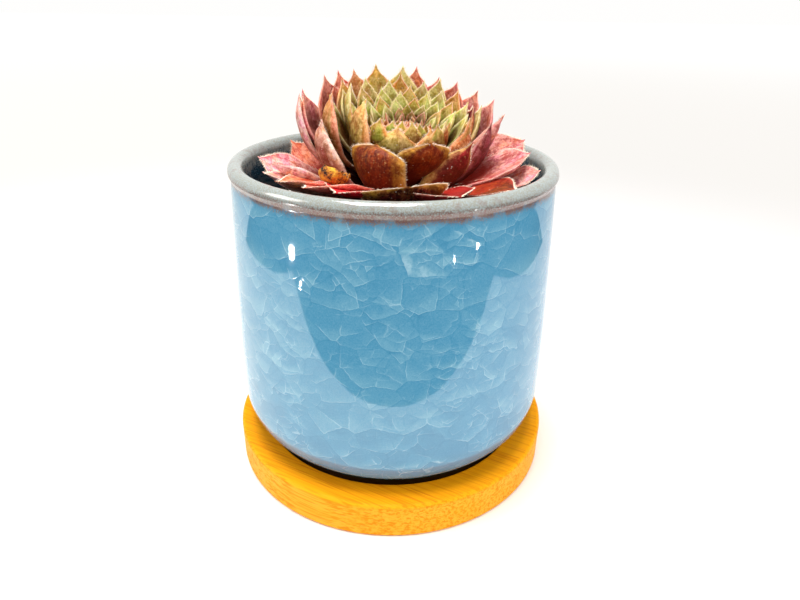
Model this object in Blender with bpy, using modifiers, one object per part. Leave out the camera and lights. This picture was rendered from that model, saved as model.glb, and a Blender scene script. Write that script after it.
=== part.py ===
"""Houseleek in a crackle glazed pot on a bamboo saucer.

Metres, +Z up, the saucer's underside at z = 0, the pot's axis at x = y = 0.
The front of the object is -Y.
"""
import math

import bmesh
import bpy
from mathutils import Matrix, Vector, noise

for old in list(bpy.data.objects):
    bpy.data.objects.remove(old, do_unlink=True)

MM = 0.001

# Driving dimensions, millimetres
GAP = 0.3

SAUCER_RADIUS = 41.5
SAUCER_HEIGHT = 9.3
SAUCER_RECESS_RADIUS = 34.4
SAUCER_FLOOR = 7.1

POT_BASE = SAUCER_FLOOR + GAP
RIM_RADIUS = 38.0
RIM_TOP = 78.1
RIM_BEAD = 1.75
POT_NECK_RADIUS = 37.45
POT_BELLY_RADIUS = 39.3
POT_CORNER = 12.7
POT_WALL = 3.5
POT_FLOOR = 13.0
DRAIN_RADIUS = 4.0

SOIL_TOP = 65.2
SOIL_LUMP = 0.8

STEM = Vector((0.5, 5.5, 0.0))
STEM_RADIUS = 3.0
ROOT_DEPTH = 52.0
COLLAR_RADIUS = 6.6
COLLAR_BOTTOM = 66.4
COLLAR_TOP = 69.0

# The rosette's axis leans to the front and a little to the right
ROSETTE_FOOT = Vector((0.5, 4.0, 70.0))
LEAN_FRONT = math.radians(14.0)
LEAN_RIGHT = math.radians(5.0)
FOOT_DRIFT = Vector((0.3, 3.5, 1.5))
BASAL_DRIFT = Vector((0.3, 5.2, 0.0))
HEART_LEAVES = 72
HEART_FIRST = 14
HEART_SHIFT = (1.2, 1.0)
GOLDEN_ANGLE = 137.508
LEAF_THICKNESS = 1.8
BASAL_THICKNESS = 1.5

ROUND = 56


def collection(name):
    made = bpy.data.collections.new(name)
    bpy.context.scene.collection.children.link(made)
    return made


PARTS = collection("potted_houseleek")
CUTTERS = collection("cutters")


def material(name, colour, roughness, coat=0.0):
    mat = bpy.data.materials.new(name)
    mat.use_nodes = True
    shader = mat.node_tree.nodes["Principled BSDF"]
    shader.inputs["Base Color"].default_value = (*colour, 1.0)
    shader.inputs["Roughness"].default_value = roughness
    shader.inputs["Coat Weight"].default_value = coat
    return mat


BAMBOO = material("bamboo", (0.80, 0.44, 0.08), 0.45)
GLAZE = material("blue_crackle_glaze", (0.10, 0.36, 0.56), 0.12, 0.8)
SOIL = material("potting_soil", (0.045, 0.030, 0.020), 0.95)
HEAD = material("bronze_green_leaf", (0.36, 0.28, 0.11), 0.40)
BASAL = material("red_leaf", (0.52, 0.11, 0.08), 0.40)
DRY = material("dry_leaf", (0.38, 0.17, 0.04), 0.80)


def put(name, mesh, mat, where=PARTS, smooth=False):
    obj = bpy.data.objects.new(name, mesh)
    where.objects.link(obj)
    if mat:
        mesh.materials.append(mat)
    mesh.polygons.foreach_set("use_smooth", [smooth] * len(mesh.polygons))
    return obj


def apply_modifiers(obj):
    graph = bpy.context.evaluated_depsgraph_get()
    mesh = bpy.data.meshes.new_from_object(obj.evaluated_get(graph))
    obj.modifiers.clear()
    obj.data = mesh
    return obj


def turned(name, profile, mat, where=PARTS, steps=ROUND):
    """A closed solid of revolution from a profile of (radius, height) run top to bottom outside."""
    mesh = bpy.data.meshes.new(name)
    points = [(r * MM, 0.0, z * MM) for r, z in profile]
    closed = profile[0][0] > 0.0 or profile[-1][0] > 0.0
    edges = [(i, i + 1) for i in range(len(points) - 1)]
    if closed:
        edges.append((len(points) - 1, 0))
    mesh.from_pydata(points, edges, [])
    obj = put(name, mesh, mat, where)
    screw = obj.modifiers.new("turn", "SCREW")
    screw.axis = "Z"
    screw.steps = steps
    screw.render_steps = steps
    screw.use_merge_vertices = True
    screw.merge_threshold = 0.00001
    screw.use_smooth_shade = True
    apply_modifiers(obj)
    return obj


def arc(cx, cz, radius, start, end, steps):
    """Points on a circle, angles in degrees from the +radius direction."""
    out = []
    for i in range(steps + 1):
        a = math.radians(start + (end - start) * i / steps)
        out.append((cx + radius * math.cos(a), cz + radius * math.sin(a)))
    return out


# Bamboo saucer: a turned disc with a shallow round recess
turned("bamboo_saucer", [
    (0.0, SAUCER_FLOOR),
    (SAUCER_RECESS_RADIUS - 0.4, SAUCER_FLOOR),
    (SAUCER_RECESS_RADIUS, SAUCER_FLOOR + 0.4),
    (SAUCER_RECESS_RADIUS, SAUCER_HEIGHT - 0.4),
    (SAUCER_RECESS_RADIUS + 0.4, SAUCER_HEIGHT),
    (SAUCER_RADIUS - 1.0, SAUCER_HEIGHT),
    (SAUCER_RADIUS - 0.3, SAUCER_HEIGHT - 0.3),
    (SAUCER_RADIUS, SAUCER_HEIGHT - 1.0),
    (SAUCER_RADIUS, 0.8),
    (SAUCER_RADIUS - 0.8, 0.0),
    (0.0, 0.0),
], BAMBOO)

# Glazed pot: rounded lower corner, slightly fuller belly, beaded rim, drain hole
bead = arc(RIM_RADIUS - RIM_BEAD, RIM_TOP - RIM_BEAD, RIM_BEAD, 150, -30, 6)
corner = arc(POT_BELLY_RADIUS - POT_CORNER, POT_BASE + POT_CORNER + 0.7, POT_CORNER, 0, -82, 6)
inner_corner = arc(POT_BELLY_RADIUS - POT_WALL - 11.0, POT_FLOOR + 11.0, 11.0, -90, 0, 4)
turned("glazed_pot", bead + [
    (POT_NECK_RADIUS, RIM_TOP - 3.0),
    (POT_NECK_RADIUS + 0.35, RIM_TOP - 8.0),
    (POT_NECK_RADIUS + 1.2, 52.0),
    (POT_BELLY_RADIUS - 0.1, 36.0),
] + corner + [
    (24.0, POT_BASE),
    (20.5, POT_BASE),
    (19.8, POT_BASE + 0.7),
    (DRAIN_RADIUS + 0.5, POT_BASE + 0.7),
    (DRAIN_RADIUS, POT_BASE + 1.2),
    (DRAIN_RADIUS, POT_FLOOR - 0.5),
    (DRAIN_RADIUS + 0.5, POT_FLOOR),
] + inner_corner + [
    (POT_BELLY_RADIUS - POT_WALL - 0.2, 40.0),
    (POT_NECK_RADIUS + 1.0 - POT_WALL, 55.0),
    (POT_NECK_RADIUS - POT_WALL + 0.3, 68.0),
], GLAZE)


# Potting soil: fills the pot to below the rim, lumpy on top, plain hole for the stem
def soil_height(x, y):
    return SOIL_TOP + SOIL_LUMP * noise.noise(Vector((x * 0.16, y * 0.16, 3.0)))


def soil_mesh():
    sides = 36
    wall = POT_BELLY_RADIUS - POT_WALL - GAP
    down = [(POT_NECK_RADIUS - POT_WALL - GAP + 0.35, None),
            (POT_NECK_RADIUS + 1.0 - POT_WALL - GAP, 55.0),
            (wall - 0.25, 40.0)]
    down += [(r, z) for r, z in arc(wall - 11.0 + 0.15, POT_FLOOR + GAP + 11.0, 10.8, 0, -90, 3)]
    rings = [(r, "top") for r in (10.0, 18.0, 26.0)]
    bm = bmesh.new()

    def ring(centre, radius, height):
        row = []
        for k in range(sides):
            a = 2 * math.pi * (k + 0.5) / sides
            x = centre.x + radius * math.cos(a)
            y = centre.y + radius * math.sin(a)
            z = soil_height(x, y) if height is None else height
            row.append(bm.verts.new((x * MM, y * MM, z * MM)))
        return row

    hole = STEM_RADIUS + GAP
    rows = [ring(STEM, hole, ROOT_DEPTH - GAP), ring(STEM, hole, None)]
    for radius, _ in rings:
        mix = (radius - hole) / (34.0 - hole)
        rows.append(ring(STEM * (1.0 - mix), radius, None))
    for radius, height in down:
        rows.append(ring(Vector((0, 0, 0)), radius, height))
    for lower, upper in zip(rows, rows[1:]):
        for k in range(sides):
            n = (k + 1) % sides
            bm.faces.new((lower[k], lower[n], upper[n]))
            bm.faces.new((lower[k], upper[n], upper[k]))
    bm.faces.new(rows[0][::-1])
    bm.faces.new(rows[-1])
    bmesh.ops.recalc_face_normals(bm, faces=bm.faces)
    mesh = bpy.data.meshes.new("potting_soil")
    bm.to_mesh(mesh)
    bm.free()
    return mesh


put("potting_soil", soil_mesh(), SOIL)


# Leaves: a bent midrib, an obovate outline with a drawn-out point, a cupped lens section
def leaf_width(u, widest):
    if u < widest:
        return 0.5 + 0.5 * math.sin(math.pi / 2 * u / widest) ** 1.3
    x = (u - widest) / (1 - widest)
    return max(math.cos(math.pi / 2 * min(1.0, x / 0.86)) ** 0.95, 0.50 * (1 - x))


def midrib(foot, tip, bend, early, stations):
    """Points (radius, height, slope) along a curve that leaves the stem flat and ends steep."""
    chord = math.atan2(tip[1] - foot[1], tip[0] - foot[0])
    fine = 60
    r, h, path = 0.0, 0.0, []
    for i in range(fine + 1):
        u = i / fine
        slope = chord + math.radians(bend) * (1 - 2 * (1 - u) ** early)
        if i:
            middle = (slope + path[-1][2]) / 2
            r += math.cos(middle) / fine
            h += math.sin(middle) / fine
        path.append((r, h, slope))
    scale = math.hypot(tip[0] - foot[0], tip[1] - foot[1]) / math.hypot(r, h)
    turn = chord - math.atan2(h, r)
    out = []
    for u in stations:
        r, h, slope = path[round(u * fine)]
        out.append((foot[0] + scale * (r * math.cos(turn) - h * math.sin(turn)),
                    foot[1] + scale * (r * math.sin(turn) + h * math.cos(turn)),
                    slope + turn))
    return out


def rosette_frame():
    axis = Vector((math.sin(LEAN_RIGHT), -math.sin(LEAN_FRONT), 0.0))
    axis.z = math.sqrt(1 - axis.length_squared)
    right = Vector((0, 1, 0)).cross(axis).normalized()
    return ROSETTE_FOOT, axis, right, axis.cross(right), FOOT_DRIFT


def pot_frame():
    return Vector((0, 0, 0)), Vector((0, 0, 1)), Vector((1, 0, 0)), Vector((0, 1, 0)), BASAL_DRIFT


WIDE = dict(stations=(0.0, 0.18, 0.40, 0.60, 0.76, 0.89),
            section=((-1, 0), (0, 1), (1, 0), (0.5, -1), (-0.5, -1)))
SMALL = dict(stations=(0.0, 0.35, 0.63, 0.85),
             section=((-1, 0), (0, 1), (1, 0), (0, -1)))


def leaf(where, frame, detail, azimuth, tip, foot, width, bend, roll=0.0, early=1.7, sweep=0.0,
         widest=0.66, thick=LEAF_THICKNESS, cup=0.14, grow=0.0):
    origin, axis, right, back, drift = frame
    a = math.radians(azimuth)
    radial = right * math.cos(a) + back * math.sin(a)
    across = back * math.cos(a) - right * math.sin(a)
    stations = detail["stations"] + (1.0,)
    bm = bmesh.new()
    rows = []
    for u, (r, h, slope) in zip(stations, midrib(foot, tip, bend, early, stations)):
        centre = origin + radial * r + axis * h + drift * (1 - u) ** 1.3 + across * sweep * (1 - u) ** 1.4
        along = radial * math.cos(slope) + axis * math.sin(slope)
        normal = axis * math.cos(slope) - radial * math.sin(slope)
        t = math.radians(roll) * u
        side = across * math.cos(t) + normal * math.sin(t)
        face = normal * math.cos(t) - across * math.sin(t)
        if u == 1.0:
            apex = bm.verts.new((centre + along * 3 * grow) * MM)
            break
        if u == 0.0:
            centre = centre - along * grow
        half = width / 2 * leaf_width(u, widest)
        depth = thick * (0.35 + 0.65 * math.sin(math.pi * max(u, 0.12) ** 0.9) ** 0.6)
        depth = depth * min(1.0, (1 - u) * 6) ** 0.7
        row = []
        for v, layer in detail["section"]:
            lens = math.sqrt(1 - v * v)
            z = cup * half * 2 * (v * v - 0.4) + lens * depth * (0.25 if layer > 0 else -0.75)
            z += grow * (layer or 1.4)
            x = half * v + math.copysign(2.9 * grow, v) * (layer == 0)
            row.append(bm.verts.new((centre + side * x + face * z) * MM))
        rows.append(row)
    n = len(rows[0])
    for near, far in zip(rows, rows[1:]):
        for k in range(n):
            m = (k + 1) % n
            bm.faces.new((near[k], near[m], far[m]))
            bm.faces.new((near[k], far[m], far[k]))
    for k in range(n):
        bm.faces.new((rows[-1][k], rows[-1][(k + 1) % n], apex))
    bm.faces.new(rows[0][::-1])
    bmesh.ops.triangulate(bm, faces=[f for f in bm.faces if len(f.verts) > 3])
    bmesh.ops.recalc_face_normals(bm, faces=bm.faces)
    mesh = bpy.data.meshes.new("leaf")
    bm.to_mesh(mesh)
    bm.free()
    return put("leaf", mesh, None, where)


# Dome leaves: azimuth, tip (radius, height), foot, width, bend, roll, early, sweep, widest
DOME = (
    (183, (23.4, 21.2), (4.5, 0.5), 11.0, 46, 0, 1.25, 0, 0.66),
    (176, (23.2, 21.0), (4.0, 2.0), 12.0, 44, 0, 1.3, 0, 0.66),
    (202, (18.9, 18.2), (4.0, 1.0), 15.5, 54, 6, 1.5, 4, 0.66),
    (183, (16.2, 21.8), (4.5, 2.5), 12.5, 48, 14, 1.5, 3, 0.66),
    (160, (13.4, 22.4), (3.5, 3.0), 8.5, 36, 20, 1.7, 2, 0.66),
    (200, (8.9, 22.2), (3.6, 2.5), 14.0, 46, -8, 1.7, 4, 0.66),
    (246, (12.6, 16.0), (7.5, 2.0), 14.2, 76, -10, 1.7, 8.5, 0.88),
    (298, (13.4, 17.8), (6.0, 0.5), 12.5, 20, -8, 1.7, -5, 0.80),
    (337, (17.3, 16.6), (8.0, -0.8), 9.2, 8, -74, 1.7, -14.5, 0.51),
    (262, (7.4, 18.6), (3.6, 3.5), 13.0, 50, 0, 1.7, 0, 0.66),
    (313, (8.8, 18.6), (3.6, 3.5), 11.0, 50, -6, 1.7, -2, 0.66),
    (349, (14.6, 18.0), (4.6, 2.0), 11.0, 42, -35, 1.7, -4, 0.66),
    (3, (23.0, 20.5), (6.5, 0.4), 9.6, 18, -62, 1.7, -7, 0.50),
    (357, (20.0, 19.2), (5.0, 0.5), 12.5, 42, -25, 1.7, -3, 0.66),
    (18, (17.0, 20.2), (3.8, 2.5), 10.5, 42, -10, 1.7, 0, 0.66),
    (21, (22.5, 21.0), (5.0, 1.0), 12.0, 38, 0, 1.7, 0, 0.66),
    (38, (22.4, 20.6), (4.5, 1.0), 12.0, 36, 0, 1.7, 0, 0.66),
    (54, (21.6, 20.8), (4.5, 1.0), 12.0, 36, 0, 1.7, 0, 0.66),
    (68, (22.0, 20.4), (4.5, 1.0), 12.0, 36, 0, 1.7, 0, 0.66),
    (84, (23.4, 21.4), (4.5, 1.0), 12.0, 36, 0, 1.7, 0, 0.66),
    (93, (20.6, 22.2), (4.0, 2.5), 11.0, 36, 0, 1.7, 0, 0.66),
    (110, (23.2, 21.4), (4.5, 1.0), 12.0, 36, 0, 1.7, 0, 0.66),
    (126, (22.4, 20.8), (4.5, 2.0), 11.5, 36, 0, 1.7, 0, 0.66),
    (136, (23.4, 20.8), (4.5, 1.0), 11.5, 38, 0, 1.7, 0, 0.66),
    (148, (23.2, 20.8), (4.5, 1.0), 12.0, 42, 0, 1.7, 0, 0.66),
)

# Basal leaves in the pot's frame: azimuth, tip, foot, width, bend, roll, early, sweep, widest
OLD = (
    (192, (31.2, 79.0), (4.5, 67.6), 14.5, 16, -22, 1.0, 0, 0.76),
    (198, (28.8, 78.2), (4.5, 68.0), 6.0, 8, 46, 1.0, 3, 0.7),
    (203, (31.0, 77.0), (4.5, 67.6), 11.0, 8, -4, 1.0, 0, 0.72),
    (164, (26.5, 80.0), (4.5, 67.6), 13.5, 22, -18, 1.0, 0, 0.72),
    (216, (30.5, 76.4), (4.5, 67.6), 12.5, -10, 6, 1.0, 0, 0.7),
    (231, (29.0, 76.4), (4.5, 67.6), 12.0, -12, 10, 1.0, 3, 0.66),
    (246, (27.5, 76.2), (4.5, 67.6), 12.5, -12, 0, 1.0, 0, 0.7),
    (277, (25.2, 77.8), (4.5, 67.6), 18.0, 20, 6, 1.2, 0, 0.86),
    (296, (31.0, 76.6), (4.5, 67.6), 14.0, -8, 0, 1.0, 0, 0.74),
    (321, (33.0, 76.3), (4.5, 67.6), 15.0, -4, 4, 1.0, 0, 0.76),
    (347, (34.0, 77.2), (4.5, 67.4), 10.0, 14, 15, 1.0, 3, 0.86),
    (355, (31.6, 80.0), (4.5, 67.8), 15.5, 5, 7, 1.0, -5, 0.8),
    (11, (32.2, 81.2), (4.5, 67.8), 14.0, 8, 30, 1.0, 0.5, 0.8),
    (46, (30.5, 80.0), (4.5, 67.6), 13.0, 22, 0, 1.0, 0, 0.72),
    (72, (29.5, 79.2), (4.5, 67.6), 13.0, 20, 0, 1.0, 0, 0.72),
    (100, (29.0, 79.0), (4.5, 67.6), 13.0, 22, 0, 1.0, 0, 0.72),
    (132, (30.0, 79.6), (4.5, 67.6), 13.0, 22, 0, 1.0, 0, 0.72),
)


def heart_leaves():
    """Small leaves set by the golden angle around a slightly sunken heart."""
    foot_centre, axis, right, back, drift = rosette_frame()
    shift = right * HEART_SHIFT[0] + back * HEART_SHIFT[1]
    for i in range(HEART_FIRST, HEART_LEAVES):
        t = (i + 0.5) / HEART_LEAVES
        azimuth = 20 + i * GOLDEN_ANGLE
        front = max(0.0, -math.sin(math.radians(azimuth)))
        tip = ((18.4 - 12.0 * front) * t ** 0.62,
               17.5 + 3.9 * t ** 1.3 - 1.4 * front * t + 0.3 * math.sin(i * 2.4))
        foot = (0.5 + 3.2 * t, 11.0 - 8.0 * t)
        place = (foot_centre + shift * (1 - t) ** 0.7, axis, right, back, drift)
        yield place, dict(azimuth=azimuth, tip=tip, foot=foot, width=1.8 + 6.4 * t ** 0.8,
                          bend=16 + 26 * t, thick=0.8 + 0.8 * t, cup=0.12)


def core(name, where, origin, axis, stations, sides=12):
    """A closed stem or crown: rings (distance along the axis, radius)."""
    bm = bmesh.new()
    turn = Vector((0, 0, 1)).rotation_difference(axis).to_matrix()
    rows = []
    for distance, radius in stations:
        row = []
        for k in range(sides):
            a = 2 * math.pi * (k + 0.37) / sides
            p = Vector((radius * math.cos(a), radius * math.sin(a), distance))
            row.append(bm.verts.new((origin + turn @ p) * MM))
        rows.append(row)
    for lower, upper in zip(rows, rows[1:]):
        for k in range(sides):
            m = (k + 1) % sides
            bm.faces.new((lower[k], lower[m], upper[m]))
            bm.faces.new((lower[k], upper[m], upper[k]))
    bm.faces.new(rows[0][::-1])
    bm.faces.new(rows[-1])
    bmesh.ops.recalc_face_normals(bm, faces=bm.faces)
    mesh = bpy.data.meshes.new(name)
    bm.to_mesh(mesh)
    bm.free()
    return put(name, mesh, None, where)


def combine(obj, group, operation):
    boolean = obj.modifiers.new(operation.lower(), "BOOLEAN")
    boolean.operation = operation
    boolean.operand_type = "COLLECTION"
    boolean.collection = group
    boolean.solver = "MANIFOLD"
    apply_modifiers(obj)
    for used in list(group.objects):
        bpy.data.objects.remove(used, do_unlink=True)
    bpy.data.collections.remove(group)
    return obj


def outer_shell(obj):
    """Keeps the one outer shell, without closed pockets between the leaves."""
    bm = bmesh.new()
    bm.from_mesh(obj.data)
    bmesh.ops.triangulate(bm, faces=bm.faces)
    seen, shells = set(), []
    for start in bm.faces:
        if start in seen:
            continue
        seen.add(start)
        shell, todo = [], [start]
        while todo:
            face = todo.pop()
            shell.append(face)
            for edge in face.edges:
                for other in edge.link_faces:
                    if other not in seen:
                        seen.add(other)
                        todo.append(other)
        shells.append(shell)
    shells.sort(key=len)
    for shell in shells[:-1]:
        bmesh.ops.delete(bm, geom=shell, context="FACES")
    bm.to_mesh(obj.data)
    bm.free()
    obj.data.polygons.foreach_set("use_smooth", [False] * len(obj.data.polygons))
    return obj


def paint(obj, mat):
    obj.data.materials.clear()
    obj.data.materials.append(mat)
    return obj


# Rosette: stem, crown and every dome and heart leaf in one body
frame = rosette_frame()
rosette = core("rosette", PARTS, STEM, Vector((0, 0, 1)), (
    (ROOT_DEPTH, 1.2), (ROOT_DEPTH + 6, STEM_RADIUS - 0.5), (64.0, STEM_RADIUS),
    (71.5, STEM_RADIUS)))
leaves = collection("rosette_leaves")
core("crown", leaves, frame[0] + FOOT_DRIFT, frame[1], (
    (-1.2, 3.4), (0.4, 6.0), (4.4, 7.0), (9.0, 6.4), (12.5, 4.0), (15.0, 1.4)))
for row in DOME:
    leaf(leaves, frame, WIDE, *row)
for place, small in heart_leaves():
    leaf(leaves, place, SMALL, **small)
combine(rosette, leaves, "UNION")
outer_shell(rosette)
paint(rosette, HEAD)

# Basal leaves: a collar around the stem that carries the old leaves
basal = core("basal_leaves", PARTS, STEM, Vector((0, 0, 1)), (
    (COLLAR_BOTTOM, COLLAR_RADIUS - 0.8), (COLLAR_BOTTOM + 0.7, COLLAR_RADIUS),
    (COLLAR_TOP - 0.6, COLLAR_RADIUS), (COLLAR_TOP, COLLAR_RADIUS - 0.8)), 16)
leaves = collection("old_leaves")
for row in OLD:
    leaf(leaves, pot_frame(), WIDE, *row, BASAL_THICKNESS, 0.10)
combine(basal, leaves, "UNION")
room = collection("room_for_rosette")
core("room", room, STEM, Vector((0, 0, 1)), ((60.0, STEM_RADIUS + GAP), (72.0, STEM_RADIUS + GAP)))
core("room", room, frame[0] + FOOT_DRIFT, frame[1], (
    (-1.2 - GAP, 3.4 + GAP), (0.4, 6.0 + GAP), (4.4, 7.0 + GAP), (9.0, 6.4 + GAP)))
for row in DOME:
    leaf(room, frame, WIDE, *row, grow=GAP + 0.1)
combine(basal, room, "DIFFERENCE")
outer_shell(basal)
paint(basal, BASAL)

# Withered leaf: a small dry leaf curled up on the basal leaves
DRY_LEAF = (229, (21.6, 79.9), (15.6, 76.7), 6.0, 62, 14, 1.0)
withered = leaf(PARTS, (Vector((0, 0, 0)), Vector((0, 0, 1)), Vector((1, 0, 0)), Vector((0, 1, 0)),
                        Vector((0, 0, 0))),
                WIDE, *DRY_LEAF, thick=1.3, cup=0.2)
withered.name = "withered_leaf"
withered.data.name = "withered_leaf"
paint(withered, DRY)

for group in list(bpy.data.collections):
    if group.name == "cutters" and not group.objects:
        bpy.data.collections.remove(group)
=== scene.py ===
"""Houseleek in a crackle glazed pot on a bamboo saucer: the finished surfaces.

Metres, +Z up, the saucer stands on z = 0 and the pot's axis is at x = y = 0.
The front, which the camera sees, is -Y.
"""

import math
import random

import bpy
from mathutils import Matrix, Vector, noise


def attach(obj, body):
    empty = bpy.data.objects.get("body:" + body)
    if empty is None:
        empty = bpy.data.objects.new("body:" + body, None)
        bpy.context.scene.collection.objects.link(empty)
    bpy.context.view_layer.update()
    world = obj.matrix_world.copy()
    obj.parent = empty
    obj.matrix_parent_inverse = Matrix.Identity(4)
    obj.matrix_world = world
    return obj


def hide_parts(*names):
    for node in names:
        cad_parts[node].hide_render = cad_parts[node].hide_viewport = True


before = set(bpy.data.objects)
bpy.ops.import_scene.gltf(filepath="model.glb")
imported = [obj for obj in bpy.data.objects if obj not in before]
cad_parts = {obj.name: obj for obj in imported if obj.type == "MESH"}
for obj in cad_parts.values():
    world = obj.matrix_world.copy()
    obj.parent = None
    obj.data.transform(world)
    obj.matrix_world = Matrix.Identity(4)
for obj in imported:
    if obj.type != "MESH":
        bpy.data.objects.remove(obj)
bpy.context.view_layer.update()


# Bamboo saucer
# A disc turned from glued bamboo strips, with a shallow round recess for the pot.
# The strips run from back left to front right, so the front right edge shows end grain.

MM = 0.001


class Wire:
    """A node's output, on which plain arithmetic adds Math nodes."""

    def __init__(self, tree, socket):
        self.tree, self.socket = tree, socket

    def __getitem__(self, name):
        return Wire(self.tree, self.socket.node.outputs[name])

    def maths(self, operation, *others):
        values = dict(enumerate((self, *others)))
        return self.tree.node("ShaderNodeMath", {"operation": operation}, values)

    def __add__(self, other):
        return self.maths("ADD", other)

    def __sub__(self, other):
        return self.maths("SUBTRACT", other)

    def __rsub__(self, other):
        return (self * -1.0).maths("ADD", other)

    def __mul__(self, other):
        return self.maths("MULTIPLY", other)

    def __abs__(self):
        return self.maths("ABSOLUTE")

    __radd__ = __add__
    __rmul__ = __mul__

    def step(self, low, high):
        """0 below low, 1 above high, eased between them; falls where high is under low."""
        return self.tree.node("ShaderNodeMapRange", {"interpolation_type": "SMOOTHSTEP"},
                              {"Value": self, "From Min": min(low, high), "From Max": max(low, high),
                               "To Min": float(low > high), "To Max": float(low < high)})


class Tree:
    """A node tree that is filled one call at a time."""

    def __init__(self, tree):
        self.tree = tree

    def node(self, kind, settings=None, sockets=None):
        """Adds a node, sets it up, then sets or links its sockets by name or number."""
        made = self.tree.nodes.new(kind)
        for name, value in (settings or {}).items():
            if name == "stops":
                ramp = made.color_ramp
                while len(ramp.elements) < len(value):
                    ramp.elements.new(1.0)
                for stop, (place, colour) in zip(ramp.elements, value):
                    stop.position, stop.color = place, colour
            else:
                setattr(made, name, value)
        for name, value in (sockets or {}).items():
            if isinstance(name, int):
                socket = made.inputs[name]
            else:
                socket = next(s for s in made.inputs if s.name == name and s.enabled)
            if isinstance(value, Wire):
                self.tree.links.new(value.socket, socket)
            else:
                socket.default_value = value
        return Wire(self, next((s for s in made.outputs if s.enabled), None))


class Finish(Tree):
    """A material: fixed values go to the Principled shader, the rest is fed by nodes."""

    def __init__(self, name, fixed):
        self.material = bpy.data.materials.new(name)
        self.material.use_nodes = True
        super().__init__(self.material.node_tree)
        self.shader = self.tree.nodes["Principled BSDF"]
        for socket, value in fixed.items():
            self.shader.inputs[socket].default_value = value
        self.place = self.node("ShaderNodeTexCoord")["Object"]

    def height(self):
        """Height above the floor, in millimetres."""
        return self.node("ShaderNodeSeparateXYZ", None, {0: self.place})["Z"] * (1 / MM)

    def radius(self):
        """Distance from the pot's axis, in millimetres."""
        flat = self.moved(self.place, (1 / MM, 1 / MM, 0))
        return self.node("ShaderNodeVectorMath", {"operation": "LENGTH"}, {0: flat})["Value"]

    def feed(self, socket, wire):
        self.tree.links.new(wire.socket, self.shader.inputs[socket])

    def mix(self, factor, first, second, how="MIX"):
        first, second = [v if isinstance(v, Wire) else (*v, 1.0) for v in (first, second)]
        return self.node("ShaderNodeMix", {"data_type": "RGBA", "blend_type": how},
                         {"Factor": factor, "A": first, "B": second})

    def tinted(self, colour, tint):
        """A colour multiplied by a tint."""
        return self.mix(1.0, colour, tint, "MULTIPLY")

    def moved(self, vector, scale, turn=(0, 0, 0), shift=(0, 0, 0)):
        return self.node("ShaderNodeMapping", None,
                         {"Vector": vector, "Scale": scale, "Rotation": turn, "Location": shift})

    def cloud(self, vector, scale, detail=3.0, rough=0.55):
        return self.node("ShaderNodeTexNoise", None,
                         {"Vector": vector, "Scale": scale, "Detail": detail, "Roughness": rough})

    def bump(self, height, distance, strength=1.0):
        self.feed("Normal", self.node("ShaderNodeBump", None,
                                      {"Height": height, "Distance": distance, "Strength": strength}))


def smooth_mesh(name, verts, faces):
    mesh = bpy.data.meshes.new(name)
    mesh.from_pydata(verts, [], faces)
    mesh.polygons.foreach_set("use_smooth", [True] * len(faces))
    return mesh


def rounded(corners, steps=5, margin=1.25):
    """A profile of (radius, height, rounding), with an arc in place of each rounded corner.

    A point just outside each arc keeps the smooth shading off the flats beside it.
    """
    out = []
    for i, (r, z, size) in enumerate(corners):
        here = Vector((r, z))
        if not size:
            out.append((r, z))
            continue
        before = (Vector(corners[i - 1][:2]) - here).normalized()
        after = (Vector(corners[(i + 1) % len(corners)][:2]) - here).normalized()
        half = before.angle(after) / 2
        reach = size / math.tan(half)
        middle = here + (before + after).normalized() * (size / math.sin(half))
        start, end = here + before * reach - middle, here + after * reach - middle
        out.append(tuple(here + before * reach * margin))
        for k in range(steps + 1):
            out.append(tuple(middle + start.lerp(end, k / steps).normalized() * size))
        out.append(tuple(here + after * reach * margin))
    return out


def turned(name, profile, sides):
    """A closed round body from (radius, height) in millimetres, from the top centre outwards."""
    verts, faces, rows = [], [], []
    for r, z in profile:
        if r < 1e-6:
            rows.append([len(verts)] * sides)
            verts.append((0.0, 0.0, z * MM))
        else:
            rows.append(list(range(len(verts), len(verts) + sides)))
            for k in range(sides):
                a = 2 * math.pi * k / sides
                verts.append((r * math.cos(a) * MM, r * math.sin(a) * MM, z * MM))
    closed = profile[0][0] > 1e-6
    for upper, lower in zip(rows, rows[1:] + ([rows[0]] if closed else [])):
        for k in range(sides):
            n = (k + 1) % sides
            ring = [upper[k], lower[k], lower[n], upper[n]]
            faces.append(list(dict.fromkeys(ring)))
    return smooth_mesh(name, verts, faces)


def piece(name, mesh, finish, slot, *nodes):
    """Puts a finished mesh on the object in place of the named CAD nodes."""
    made = bpy.data.objects.new(name, mesh)
    bpy.context.scene.collection.objects.link(made)
    if not mesh.materials:
        mesh.materials.append(finish.material)
    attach(made, "root")
    if nodes:
        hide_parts(*nodes)
    return made


SAUCER_RADIUS = 41.5
SAUCER_TOP = 9.3
RECESS_RADIUS = 34.4
RECESS_FLOOR = 7.1
ROUND_SIDES = 192
GRAIN_TURN = math.radians(27.0)
BAMBOO_YELLOW = (0.93, 0.36, 0.004)
BAMBOO_DARK = (0.66, 0.17, 0.002)
BAMBOO_PALE = (0.99, 0.50, 0.05)
RECESS_SHADE = (0.010, 0.003, 0.002)

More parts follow.
